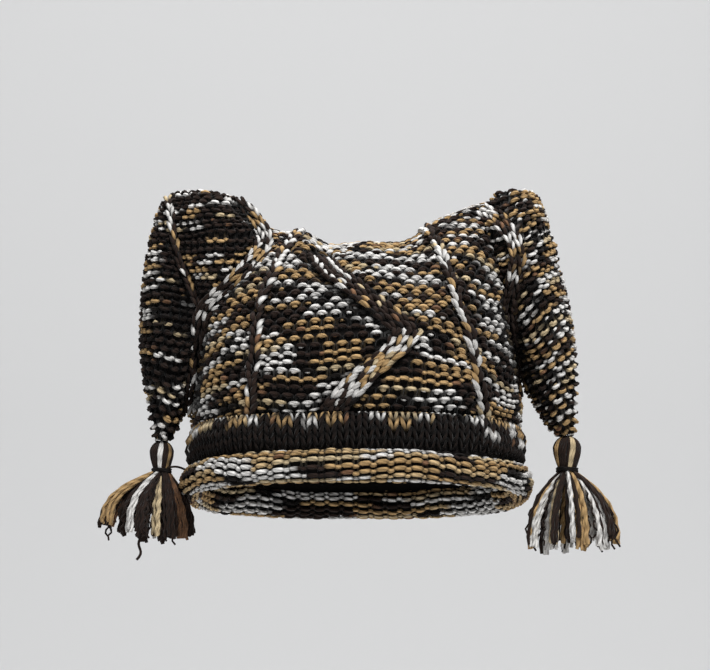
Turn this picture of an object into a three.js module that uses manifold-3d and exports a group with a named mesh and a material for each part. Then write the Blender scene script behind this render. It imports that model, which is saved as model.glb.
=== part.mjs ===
// Tassel beanie: a chunky knitted hat whose two top corners run out into long ears.
// Each ear rises, folds over and hangs beside the crown, with a tassel at its tip.
// Millimetres, +Z up, the face side looks along -Y. The origin is the centre of the
// mouth, level with the lower edge of the rolled brim.
import * as THREE from 'three';
import { mergeVertices } from 'three/addons/utils/BufferGeometryUtils.js';
import Module from 'manifold-3d';

const wasm = await Module();
wasm.setup();

// Driving dimensions
const gap = 0.3;                // clearance between neighbouring pieces
const squareness = 2.6;         // exponent of the plan section, 2 is an ellipse
const brimWidth = 189;          // outside of the rolled brim, ear to ear
const brimDepth = 198;          // outside of the rolled brim, front to back
const brimHeight = 20;          // height of the roll
const rollThickness = 14;       // thickness of the roll, mouth to outside
const bandHeight = 16.6;        // the plain-knit band above the roll
const bandThickness = 7.5;      // wall of the band
const bodyWidth = 180;          // widest part of the crown, ear to ear
const bodyDepth = 189;          // widest part of the crown, front to back
const crownHeight = 105;        // crown from the band to the middle of the top seam
const cornerLift = 21;          // how far the ends of the top seam stand above its middle
const cornerReach = 1.5;        // how far the lift runs in along the seam, more is less
const shoulderLift = 6.5;       // extra height of the seam beside the right ear
const shoulderPlace = 54;       // where that shoulder is highest, across the hat
const shoulderReach = 19;       // half its length along the seam
const knitWall = 6.5;           // thickness of the crown's fabric
const ribHeight = 2;            // how far the ribs and the cable stand proud
const ribWidth = 11;            // width of each rib
const cableWidth = 26;          // width of the plaited cable
const earSpan = 30;             // how far the hanging ear reaches past the crown's side
const earRise = 24;             // peak of the ear above the middle of the top seam
const earDrop = 110;            // from the middle of the top seam down to the ear's tip
const earDepth = 76;            // ear at its fullest, front to back
const earWall = 5;              // thickness of the ear's fabric
const leftKnob = 13.2;          // diameter of the left tassel's tied head
const rightKnob = 15.5;
const leftSkirt = 39;           // cut yarn of the left tassel below its neck
const rightSkirt = 44;
const skirtWidth = 47;          // spread of the cut yarn at its ends
const skirtArch = 2.4;          // how soon the cut yarn spreads out below the neck
const tieThickness = 2.2;       // yarn bound round the tassel's neck
const neckShare = 0.5;          // neck of a tassel, as a share of its head's diameter
const lockThickness = 10.5;     // one lock of the skirt at its fullest
const lockStart = 0.16;         // distance of a lock's start from the axis, as a share of the head
const lockDepth = 0.72;         // spread from front to back, as a share of the spread across
const neckLap = 0.6;            // neck above and below the tie's middle, in tie thicknesses
const tieSag = 0.1;             // how low the tie sits on the neck, in tie thicknesses
const ridgeRound = 0.7;         // how full a rib's top is, less is fuller
const ribBow = 1.6;             // how late a rib bends in towards the top seam

// The solid middle of a skirt: its radius as a share of the head's, and the depths where
// it is fullest and where it ends as shares of the skirt's length.
const heart = { out: 0.9, fullest: 0.36, end: 0.5 };

const bandBase = brimHeight + gap;
const crownBase = bandBase + bandHeight + gap;
const seamHeight = crownBase + crownHeight;

// Crown sections, from the band up: height as a share of crownHeight, width and depth
// as shares of bodyWidth and bodyDepth, and the share of cornerLift and shoulderLift there.
const crownSections = [
  { up: 0.00, width: 0.975, depth: 0.960, lift: 0.00 },
  { up: 0.07, width: 0.995, depth: 0.990, lift: 0.00 },
  { up: 0.20, width: 1.000, depth: 1.000, lift: 0.00 },
  { up: 0.36, width: 0.985, depth: 0.980, lift: 0.00 },
  { up: 0.51, width: 0.965, depth: 0.925, lift: 0.05 },
  { up: 0.65, width: 0.945, depth: 0.830, lift: 0.17 },
  { up: 0.77, width: 0.925, depth: 0.695, lift: 0.38 },
  { up: 0.87, width: 0.900, depth: 0.525, lift: 0.63 },
  { up: 0.94, width: 0.875, depth: 0.350, lift: 0.82 },
  { up: 0.985, width: 0.850, depth: 0.175, lift: 0.95 },
  { up: 1.00, width: 0.835, depth: 0.035, lift: 1.00 },
];

// Ear sections, from the peak down to the tip. Each has an outer and an inner end, and
// the inner ends of the upper ones lie inside the crown. Out is measured from the crown's
// side: past it as a share of earSpan, short of it as a share of half the body width. Up
// is measured from the middle of the top seam: above as a share of earRise, below as one
// of earDrop. Deep is a share of earDepth, and ahead moves the section towards the face
// side. Crease says where the fold lies in the face side, from -1 at the inner end to 1
// at the outer one, and dent how deep it is as a share of the section's depth there.
const rightEar = [
  { outerOut: 0.10, outerUp: 1.075, innerOut: -0.06, innerUp: 1.054, deep: 0.20, ahead: 0.02, crease: -0.50, dent: 0.00 },
  { outerOut: 0.30, outerUp: 0.971, innerOut: -0.22, innerUp: 0.929, deep: 0.55, ahead: 0.04, crease: -0.50, dent: 0.05 },
  { outerOut: 0.42, outerUp: 0.658, innerOut: -0.29, innerUp: 0.325, deep: 0.80, ahead: 0.06, crease: -0.50, dent: 0.10 },
  { outerOut: 0.52, outerUp: 0.242, innerOut: -0.31, innerUp: -0.056, deep: 0.95, ahead: 0.08, crease: -0.50, dent: 0.14 },
  { outerOut: 0.62, outerUp: -0.056, innerOut: -0.29, innerUp: -0.193, deep: 1.00, ahead: 0.09, crease: -0.50, dent: 0.16 },
  { outerOut: 0.72, outerUp: -0.175, innerOut: -0.24, innerUp: -0.329, deep: 0.98, ahead: 0.10, crease: -0.50, dent: 0.16 },
  { outerOut: 0.82, outerUp: -0.302, innerOut: -0.18, innerUp: -0.456, deep: 0.92, ahead: 0.10, crease: -0.50, dent: 0.14 },
  { outerOut: 0.90, outerUp: -0.429, innerOut: -0.11, innerUp: -0.584, deep: 0.84, ahead: 0.10, crease: -0.50, dent: 0.12 },
  { outerOut: 0.96, outerUp: -0.556, innerOut: -0.06, innerUp: -0.693, deep: 0.74, ahead: 0.10, crease: -0.40, dent: 0.08 },
  { outerOut: 0.98, outerUp: -0.684, innerOut: 0.00, innerUp: -0.784, deep: 0.62, ahead: 0.10, crease: -0.30, dent: 0.04 },
  { outerOut: 0.97, outerUp: -0.802, innerOut: 0.18, innerUp: -0.865, deep: 0.46, ahead: 0.10, crease: 0.00, dent: 0.00 },
  { outerOut: 0.97, outerUp: -0.893, innerOut: 0.35, innerUp: -0.934, deep: 0.31, ahead: 0.10, crease: 0.00, dent: 0.00 },
  { outerOut: 0.96, outerUp: -0.965, innerOut: 0.50, innerUp: -0.975, deep: 0.19, ahead: 0.10, crease: 0.00, dent: 0.00 },
];
const leftEar = [
  { outerOut: 0.10, outerUp: 1.054, innerOut: -0.08, innerUp: 1.054, deep: 0.20, ahead: 0.05, crease: 0.50, dent: 0.00 },
  { outerOut: 0.43, outerUp: 0.888, innerOut: -0.27, innerUp: 0.867, deep: 0.60, ahead: 0.10, crease: 0.55, dent: 0.12 },
  { outerOut: 0.60, outerUp: 0.533, innerOut: -0.40, innerUp: 0.658, deep: 0.84, ahead: 0.14, crease: 0.55, dent: 0.25 },
  { outerOut: 0.70, outerUp: 0.033, innerOut: -0.49, innerUp: 0.283, deep: 0.98, ahead: 0.18, crease: 0.52, dent: 0.36 },
  { outerOut: 0.78, outerUp: -0.111, innerOut: -0.53, innerUp: -0.038, deep: 1.06, ahead: 0.21, crease: 0.46, dent: 0.44 },
  { outerOut: 0.83, outerUp: -0.229, innerOut: -0.51, innerUp: -0.156, deep: 1.08, ahead: 0.23, crease: 0.38, dent: 0.50 },
  { outerOut: 0.86, outerUp: -0.347, innerOut: -0.44, innerUp: -0.275, deep: 1.04, ahead: 0.24, crease: 0.25, dent: 0.50 },
  { outerOut: 0.87, outerUp: -0.465, innerOut: -0.31, innerUp: -0.393, deep: 0.95, ahead: 0.24, crease: 0.05, dent: 0.40 },
  { outerOut: 0.86, outerUp: -0.584, innerOut: -0.18, innerUp: -0.529, deep: 0.84, ahead: 0.24, crease: -0.10, dent: 0.22 },
  { outerOut: 0.82, outerUp: -0.702, innerOut: -0.09, innerUp: -0.665, deep: 0.70, ahead: 0.24, crease: -0.20, dent: 0.08 },
  { outerOut: 0.73, outerUp: -0.820, innerOut: -0.04, innerUp: -0.802, deep: 0.52, ahead: 0.24, crease: -0.20, dent: 0.00 },
  { outerOut: 0.67, outerUp: -0.929, innerOut: 0.03, innerUp: -0.920, deep: 0.34, ahead: 0.24, crease: 0.00, dent: 0.00 },
  { outerOut: 0.63, outerUp: -1.006, innerOut: 0.20, innerUp: -1.011, deep: 0.20, ahead: 0.24, crease: 0.00, dent: 0.00 },
];
const creaseWidth = 0.42;       // half width of the fold, in the units of the crease column

// Front ribs: how far along the crown from the middle of the face side, as a share of
// half the body width, at the band and at the top seam.
const ribs = [
  { foot: -0.60, head: -0.34 },
  { foot: 0.73, head: 0.37 },
];
// The cable swings from side to side as it climbs: height share, place as for a rib.
const cablePath = [
  { up: 0.02, place: -0.10 },
  { up: 0.22, place: 0.02 },
  { up: 0.42, place: 0.30 },
  { up: 0.60, place: 0.26 },
  { up: 0.78, place: 0.00 },
  { up: 0.92, place: -0.12 },
];

// Locks of a tassel: direction round the neck in degrees, length as a share of the
// skirt's, spread as a share of half of skirtWidth.
const locks = [
  { turn: 0, long: 0.88, spread: 1.00 },
  { turn: 28, long: 0.97, spread: 0.86 },
  { turn: 58, long: 0.92, spread: 0.92 },
  { turn: 90, long: 0.99, spread: 0.74 },
  { turn: 122, long: 0.94, spread: 0.90 },
  { turn: 152, long: 1.00, spread: 0.84 },
  { turn: 180, long: 0.93, spread: 1.00 },
  { turn: 208, long: 0.98, spread: 0.82 },
  { turn: 240, long: 0.95, spread: 0.90 },
  { turn: 270, long: 1.00, spread: 0.72 },
  { turn: 302, long: 0.93, spread: 0.92 },
  { turn: 332, long: 0.96, spread: 0.86 },
];

// Helpers for shapes

// A signed power, which turns a circle's sine or cosine into a superellipse's.
function soft(value) {
  return Math.sign(value) * Math.abs(value) ** (2 / squareness);
}

// A closed geometry from rings of equal length. Ends are closed by a fan, by a seam
// that joins mirrored points, or not at all where the last ring meets the first.
function loft(rings, ending) {
  const count = rings[0].length;
  const points = rings.flat();
  const faces = [];
  const rows = ending === 'round' ? rings.length : rings.length - 1;
  for (let row = 0; row < rows; row += 1) {
    const low = row * count;
    const high = ((row + 1) % rings.length) * count;
    for (let i = 0; i < count; i += 1) {
      const j = (i + 1) % count;
      faces.push(low + i, low + j, high + j, low + i, high + j, high + i);
    }
  }
  if (ending !== 'round') {
    closeFan(points, faces, rings[0], 0, true);
    const top = (rings.length - 1) * count;
    if (ending === 'seam') {
      closeSeam(faces, top, count);
    } else {
      closeFan(points, faces, rings[rings.length - 1], top, false);
    }
  }
  const geometry = new THREE.BufferGeometry();
  geometry.setAttribute('position', new THREE.Float32BufferAttribute(points.flatMap((p) => p.toArray()), 3));
  geometry.setIndex(faces);
  return geometry;
}

function closeFan(points, faces, ring, start, facesDown) {
  const middle = ring.reduce((sum, p) => sum.add(p), new THREE.Vector3()).divideScalar(ring.length);
  const centre = points.length;
  points.push(middle);
  for (let i = 0; i < ring.length; i += 1) {
    const j = (i + 1) % ring.length;
    faces.push(centre, start + (facesDown ? j : i), start + (facesDown ? i : j));
  }
}

// The ring's point i and its mirror point count - i are joined, from end to end.
function closeSeam(faces, start, count) {
  for (let i = 0; i < count / 2; i += 1) {
    const front = [start + i, start + i + 1];
    const back = [start + ((count - i) % count), start + (count - i - 1)];
    if (i > 0) faces.push(front[0], front[1], back[0]);
    if (i < count / 2 - 1) faces.push(front[1], back[1], back[0]);
  }
}

function toSolid(geometry) {
  const bare = geometry.clone();
  bare.deleteAttribute('normal');
  bare.deleteAttribute('uv');
  const merged = mergeVertices(bare, 1e-5);
  return new wasm.Manifold(new wasm.Mesh({
    numProp: 3,
    vertProperties: new Float32Array(merged.attributes.position.array),
    triVerts: new Uint32Array(merged.index.array),
  }));
}

function toGeometry(solid) {
  const mesh = solid.getMesh();
  const geometry = new THREE.BufferGeometry();
  geometry.setAttribute('position', new THREE.BufferAttribute(new Float32Array(mesh.vertProperties), 3));
  geometry.setIndex(new THREE.BufferAttribute(new Uint32Array(mesh.triVerts), 1));
  geometry.computeVertexNormals();
  return geometry;
}

// The biggest of a solid's separate lumps, so that a boolean leaves no crumbs.
function mainLump(solid) {
  const lumps = solid.decompose();
  return lumps.reduce((best, lump) => (lump.volume() > best.volume() ? lump : best));
}

function namedMesh(name, geometry, colour) {
  const material = new THREE.MeshStandardMaterial({ color: colour, roughness: 0.95, metalness: 0 });
  const mesh = new THREE.Mesh(geometry, material);
  mesh.name = name;
  return mesh;
}

// A row of a table between two of its rows, blended smoothly through its neighbours.
function rowBetween(table, place) {
  const last = table.length - 1;
  const i = Math.min(Math.floor(place), last - 1);
  const t = place - i;
  const near = (k) => table[Math.max(0, Math.min(last, k))];
  const blended = {};
  for (const key of Object.keys(table[0])) {
    const [a, b, c, d] = [near(i - 1)[key], near(i)[key], near(i + 1)[key], near(i + 2)[key]];
    blended[key] = 0.5 * (2 * b + (c - a) * t + (2 * a - 5 * b + 4 * c - d) * t * t
      + (3 * b - a - 3 * c + d) * t * t * t);
  }
  return blended;
}

// The brim and the band: a profile of (across, up) pairs carried round the mouth.
function hoop(halfWidth, halfDepth, base, profile, steps) {
  const rings = [];
  for (let k = 0; k < steps; k += 1) {
    const angle = (-k / steps) * 2 * Math.PI;
    rings.push(profile.map(({ across, up }) => new THREE.Vector3(
      (halfWidth + across) * soft(Math.cos(angle)),
      (halfDepth + across) * soft(Math.sin(angle)),
      base + up,
    )));
  }
  return loft(rings, 'round');
}

// The rolled brim: a soft-cornered oval section.
function rollProfile(thickness, height, grow) {
  const steps = 12;
  const profile = [];
  for (let k = 0; k < steps; k += 1) {
    const angle = (k / steps) * 2 * Math.PI;
    profile.push({
      across: (thickness / 2 + grow) * soft(Math.cos(angle)) - thickness / 2,
      up: (height / 2 + grow) * soft(Math.sin(angle)) + height / 2,
    });
  }
  return profile;
}

// The band: a wall that bulges between the roll and the crown.
function bandProfile(grow) {
  const bulge = [
    { up: 0, out: -0.30 },
    { up: 0.28, out: 0.02 },
    { up: 0.60, out: 0.10 },
    { up: 1, out: -0.28 },
  ];
  const outside = bulge.map(({ up, out }) => ({
    across: out * bandThickness + grow,
    up: up * bandHeight + grow * Math.sign(up - 0.5),
  }));
  const inside = [
    { across: -bandThickness, up: bandHeight + grow },
    { across: -bandThickness, up: -grow },
  ];
  return [...outside, ...inside];
}

// Crown

// How far a rib or the cable lifts the face side at a place, with a rounded top.
function ridge(distance, width) {
  return Math.abs(distance) < width / 2 ? Math.cos((distance / width) * Math.PI) ** ridgeRound : 0;
}

function frontRelief(x, up) {
  const half = bodyWidth / 2;
  let relief = 0;
  for (const { foot, head } of ribs) {
    const place = (foot + (head - foot) * up ** ribBow) * half;
    relief = Math.max(relief, ridge(x - place, ribWidth));
  }
  for (let i = 0; i < cablePath.length - 1; i += 1) {
    const [a, b] = [cablePath[i], cablePath[i + 1]];
    if (up >= a.up && up <= b.up) {
      const place = a.place + ((b.place - a.place) * (up - a.up)) / (b.up - a.up);
      relief = Math.max(relief, ridge(x - place * half, cableWidth));
    }
  }
  return relief * ribHeight;
}

// A ring of the crown, moved outwards by grow and with or without the face's relief.
function crownRing(section, steps, grow, withRelief) {
  const halfWidth = (section.width * bodyWidth) / 2 + grow;
  const halfDepth = Math.max((section.depth * bodyDepth) / 2 + grow, 1);
  const rise = section.up * crownHeight + grow * section.up;
  const ring = [];
  for (let k = 0; k < steps; k += 1) {
    const angle = (k / steps) * 2 * Math.PI;
    const x = halfWidth * soft(Math.cos(angle));
    const faceSide = Math.max(0, -Math.sin(angle));
    const relief = withRelief ? frontRelief(x, section.up) * Math.min(1, faceSide * 3) : 0;
    const y = halfDepth * soft(Math.sin(angle)) - relief;
    const corner = cornerLift * Math.abs(Math.cos(angle)) ** cornerReach;
    const shoulder = shoulderLift * Math.exp(-(((x - shoulderPlace) / shoulderReach) ** 4));
    ring.push(new THREE.Vector3(x, y, crownBase + rise + section.lift * (corner + shoulder)));
  }
  return ring;
}

function crownForm(steps, rows, grow, withRelief, drop) {
  const rings = [];
  const first = crownRing(crownSections[0], steps, grow, withRelief);
  if (drop > 0) rings.push(first.map((p) => new THREE.Vector3(p.x, p.y, p.z - drop)));
  for (let k = 0; k <= rows; k += 1) {
    const place = (k / rows) * (crownSections.length - 1);
    rings.push(crownRing(rowBetween(crownSections, place), steps, grow, withRelief));
  }
  return toSolid(loft(rings, 'seam'));
}

// Ears

function earPoint(out, up) {
  const x = bodyWidth / 2 + (out > 0 ? out * earSpan : (out * bodyWidth) / 2);
  const z = seamHeight + (up > 0 ? up * earRise : up * earDrop);
  return { x, z };
}

// The ear's skin, moved inwards by inset. Side is 1 for the right ear, -1 for the left.
function earForm(table, side, steps, rows, inset, firstRow, lastRow) {
  const rings = [];
  for (let k = 0; k <= rows; k += 1) {
    const row = rowBetween(table, firstRow + (k / rows) * (lastRow - firstRow));
    const outer = earPoint(row.outerOut, row.outerUp);
    const inner = earPoint(row.innerOut, row.innerUp);
    const middle = { x: (outer.x + inner.x) / 2, z: (outer.z + inner.z) / 2 };
    const reach = Math.hypot(outer.x - inner.x, outer.z - inner.z) / 2;
    const across = Math.max(reach - inset, 1);
    const deep = Math.max((row.deep * earDepth) / 2 - inset, 1);
    const heading = { x: (outer.x - inner.x) / 2 / reach, z: (outer.z - inner.z) / 2 / reach };
    const ring = [];
    for (let i = 0; i < steps; i += 1) {
      const angle = (i / steps) * 2 * Math.PI;
      const along = across * Math.cos(angle);
      const facing = side * Math.sin(angle);
      const fold = facing > 0 ? row.dent * Math.exp(-(((Math.cos(angle) - row.crease) / creaseWidth) ** 2)) : 0;
      ring.push(new THREE.Vector3(
        side * (middle.x + heading.x * along),
        -row.ahead * earDepth - deep * facing * (1 - fold),
        middle.z + heading.z * along,
      ));
    }
    rings.push(ring);
  }
  return toSolid(loft(rings, 'fan'));
}

// Tassels

// A turned form about the vertical through a place: radius and height pairs, from the
// bottom of the axis to its top.
function turned(profile, steps, place) {
  const outline = profile.map(({ radius, up }) => new THREE.Vector2(radius, up));
  const geometry = new THREE.LatheGeometry(outline, steps);
  geometry.rotateX(Math.PI / 2);
  geometry.translate(place.x, place.y, place.z);
  return toSolid(geometry);
}

// One lock: a tapering rod that starts inside the neck, arches out and falls to its cut end.
function lockForm({ turn, long, spread }, place, { knob, skirt, lean }) {
  const angle = THREE.MathUtils.degToRad(turn);
  const thickness = [0.30, 0.66, 0.94, 1.0, 0.66];
  const sides = 6;
  const top = tieThickness * neckLap + gap;
  const rings = thickness.map((share, k) => {
    const down = k / (thickness.length - 1);
    const away = (skirtWidth / 2 - lockThickness / 2) * spread * (1 - (1 - down) ** skirtArch);
    const start = knob * lockStart;
    const centre = new THREE.Vector3(
      place.x + Math.cos(angle) * (start + away) + lean * down,
      place.y + Math.sin(angle) * (start + away * lockDepth),
      place.z - top - down * (long * skirt - top),
    );
    const radius = (share * lockThickness) / 2;
    const ring = [];
    for (let i = 0; i < sides; i += 1) {
      const round = (-i / sides) * 2 * Math.PI;
      ring.push(new THREE.Vector3(
        centre.x + radius * Math.cos(round),
        centre.y + radius * Math.sin(round),
        centre.z,
      ));
    }
    return ring;
  });
  return toSolid(loft(rings, 'fan'));
}

// The tied head: radius and height over the neck, both as shares of its radius.
const headProfile = [
  { out: 0.76, up: 0.50 },
  { out: 0.97, up: 1.10 },
  { out: 0.95, up: 1.55 },
  { out: 0.55, up: 1.90 },
  { out: 0, up: 2 },
];

// A tassel that hangs from an ear's tip: head, neck and heart turned, locks fused on.
function tasselForm(tip, shape) {
  const radius = shape.knob / 2;
  const neckRadius = shape.knob * neckShare / 2;
  const neck = { x: tip.x, y: tip.y, z: tip.z - gap - shape.knob - tieThickness / 2 };
  const profile = [
    { radius: 0, up: -shape.skirt * heart.end },
    { radius: radius * heart.out, up: -shape.skirt * heart.fullest },
    { radius: neckRadius, up: -tieThickness },
    { radius: neckRadius, up: tieThickness * neckLap },
    ...headProfile.map(({ out, up }) => ({ radius: radius * out, up: tieThickness / 2 + radius * up })),
  ];
  let solid = turned(profile, 14, neck);
  for (const lock of locks) {
    solid = solid.add(lockForm(lock, neck, shape));
  }
  return { solid, neck };
}

// The binding: a ring of yarn that hugs the neck with the named clearance.
function tieForm(neck, knob) {
  const middle = knob * neckShare / 2 + gap + tieThickness / 2;
  const outline = [];
  const steps = 6;
  for (let k = 0; k <= steps; k += 1) {
    const angle = (k / steps) * 2 * Math.PI;
    outline.push(new THREE.Vector2(
      middle + (tieThickness / 2) * Math.cos(angle),
      (tieThickness / 2) * Math.sin(angle) - tieThickness * tieSag,
    ));
  }
  const geometry = new THREE.LatheGeometry(outline, 16);
  geometry.rotateX(Math.PI / 2);
  geometry.translate(neck.x, neck.y, neck.z);
  return toSolid(geometry);
}

// Assembly

const brimHalf = { width: brimWidth / 2, depth: brimDepth / 2 };
const bandHalf = { width: bodyWidth / 2, depth: bodyDepth / 2 };
const hoopSteps = 48;
const brim = toSolid(hoop(brimHalf.width, brimHalf.depth, 0, rollProfile(rollThickness, brimHeight, 0), hoopSteps));
const band = toSolid(hoop(bandHalf.width, bandHalf.depth, bandBase, bandProfile(0), hoopSteps));

const crownSteps = 80;
const crownRows = 12;
const crownOuter = crownForm(crownSteps, crownRows, 0, true, 0);
const crownInner = crownForm(crownSteps / 2, crownRows - 2, -knitWall, false, knitWall);

// What the ears must stay clear of: the crown, the band and the brim, grown by the gap.
const clearBody = crownForm(crownSteps, crownRows, gap, true, 0)
  .add(toSolid(hoop(bandHalf.width, bandHalf.depth, bandBase, bandProfile(gap), hoopSteps)))
  .add(toSolid(hoop(brimHalf.width, brimHalf.depth, 0, rollProfile(rollThickness, brimHeight, gap), hoopSteps)));

const ears = [
  { name: 'left', side: -1, table: leftEar, tassel: { knob: leftKnob, skirt: leftSkirt, lean: -9 } },
  { name: 'right', side: 1, table: rightEar, tassel: { knob: rightKnob, skirt: rightSkirt, lean: 4 } },
];
const earSteps = 22;
const earRows = 20;

const beanie = new THREE.Group();
let crown = crownOuter.subtract(crownInner);
const pieces = [];
for (const { name, side, table, tassel } of ears) {
  const outer = earForm(table, side, earSteps, earRows, 0, 0, table.length - 1);
  const inner = earForm(table, side, earSteps - 4, earRows - 6, earWall, 1, table.length - 3);
  crown = crown.subtract(inner);
  const ear = mainLump(outer.subtract(inner).subtract(clearBody));
  const last = table[table.length - 1];
  const outerTip = earPoint(last.outerOut, last.outerUp);
  const innerTip = earPoint(last.innerOut, last.innerUp);
  const tip = {
    x: (side * (outerTip.x + innerTip.x)) / 2,
    y: -last.ahead * earDepth,
    z: Math.min(outerTip.z, innerTip.z),
  };
  const { solid, neck } = tasselForm(tip, tassel);
  pieces.push(namedMesh(`ear_${name}`, toGeometry(ear), 0x6a5442));
  pieces.push(namedMesh(`tassel_${name}`, toGeometry(mainLump(solid.subtract(clearBody))), 0x8a7358));
  pieces.push(namedMesh(`tassel_tie_${name}`, toGeometry(tieForm(neck, tassel.knob)), 0x2a221e));
}

beanie.add(namedMesh('brim_roll', toGeometry(brim), 0x7c6a55));
beanie.add(namedMesh('band', toGeometry(band), 0x3a2f2b));
beanie.add(namedMesh('crown', toGeometry(mainLump(crown)), 0x6f5b49));
beanie.add(...pieces);

export default beanie;
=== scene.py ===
"""Tassel beanie: each stitch is a loop of spun yarn laid on the hat's own surfaces.

Lengths inside the functions are millimetres, and a mesh is written in metres. The
hat's face side looks along -Y, and the origin is the centre of its mouth.
"""
import math

import bpy
import numpy as np
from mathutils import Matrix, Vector
from mathutils.bvhtree import BVHTree


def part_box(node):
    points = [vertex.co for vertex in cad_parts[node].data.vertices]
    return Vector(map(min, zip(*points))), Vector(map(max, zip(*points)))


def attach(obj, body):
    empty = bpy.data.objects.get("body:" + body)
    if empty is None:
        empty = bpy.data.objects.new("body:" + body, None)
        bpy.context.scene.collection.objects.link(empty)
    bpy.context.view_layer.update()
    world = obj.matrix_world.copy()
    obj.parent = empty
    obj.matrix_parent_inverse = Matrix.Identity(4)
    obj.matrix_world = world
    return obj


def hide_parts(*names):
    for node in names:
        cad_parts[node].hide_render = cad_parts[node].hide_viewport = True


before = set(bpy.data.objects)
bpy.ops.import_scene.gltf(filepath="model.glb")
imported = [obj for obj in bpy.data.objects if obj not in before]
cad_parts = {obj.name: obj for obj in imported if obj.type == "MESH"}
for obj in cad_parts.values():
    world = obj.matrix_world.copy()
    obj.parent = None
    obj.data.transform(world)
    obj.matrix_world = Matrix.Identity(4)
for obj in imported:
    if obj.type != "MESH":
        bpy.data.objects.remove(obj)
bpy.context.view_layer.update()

MM = 0.001
TAU = 2 * math.pi

# Sizes taken from the frame


def node_box(node):
    """Lowest and highest corners of a node of the frame, in millimetres."""
    low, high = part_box(node)
    return np.array(low) / MM, np.array(high) / MM


brim_low, brim_high = node_box("brim_roll")
band_low, band_high = node_box("band")
crown_low, crown_high = node_box("crown")
BRIM_HALF = (brim_high[:2] - brim_low[:2]) / 2
BRIM_HEIGHT = brim_high[2] - brim_low[2]
BAND_HALF = (band_high[:2] - band_low[:2]) / 2
BAND_HEIGHT = band_high[2] - band_low[2]
CROWN_HALF = np.array([crown_high[0], crown_high[1]])
CROWN_BASE = crown_low[2]
CORNER_LIFT = 21.0
CORNER_REACH = 1.5
SEAM_SHARE = 0.835
SHOULDER_LIFT = 6.5
SHOULDER_PLACE = 54.0
SHOULDER_REACH = 19.0


def shoulder(x):
    """Extra height of the seam beside the right ear: lift e^-((x - place) / reach)^4."""
    return SHOULDER_LIFT * np.exp(-((x - SHOULDER_PLACE) / SHOULDER_REACH) ** 4)


# Uneven top seam of the crown: place from the left and height over the even line.
SEAM_WAVE = np.array([
    (-60, 0), (-40, 0.5), (-27, 4.2), (-15, -1.8), (5, 1.4), (24, -1.6), (38, 0), (60, 0),
])

SEAM_RISE = crown_high[2] - crown_low[2] - CORNER_LIFT - shoulder(SEAM_SHARE * CROWN_HALF[0])
SEAM_HEIGHT = CROWN_BASE + SEAM_RISE
ROLL_THICKNESS = 14.0
EAR_SPAN = 30.0
EAR_RISE = 24.0
EAR_DROP = 110.0
EAR_DEPTH = 76.0
SQUARENESS = 2.6

# Yarn and gauge

YARN_RADIUS = 1.05
STITCH_WIDTH = 7.0
COURSE = 4.25
PURL_SWAY = 0.13
HEAD_SPREAD = 0.13
HEAD_FORWARD = 0.35
HEAD_FLATNESS = 0.4
KNIT_SWAY = 0.0
PURL_OVERLAP = 1.2
KNIT_OVERLAP = 3.0
LOOP_DEPTH = 1.1
SEGMENTS = 12
CROWDING = 0.2
SIDES = 5
PRESSED_YARN = 0.92
SHADE_SHEET_DEPTH = -1.2

# Crown sections from the band up: shares of the rise, of the half width and half depth,
# and the share of the corners' lift that is reached there.
CROWN_ROWS = np.array([
    # up, width, depth, lift
    (0.00, 0.975, 0.960, 0.00),
    (0.07, 0.995, 0.990, 0.00),
    (0.20, 1.000, 1.000, 0.00),
    (0.36, 0.985, 0.980, 0.00),
    (0.51, 0.965, 0.925, 0.05),
    (0.65, 0.945, 0.830, 0.17),
    (0.77, 0.925, 0.695, 0.38),
    (0.87, 0.900, 0.525, 0.63),
    (0.94, 0.875, 0.350, 0.82),
    (0.985, 0.850, 0.175, 0.95),
    (1.00, 0.835, 0.035, 1.00),
])

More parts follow.
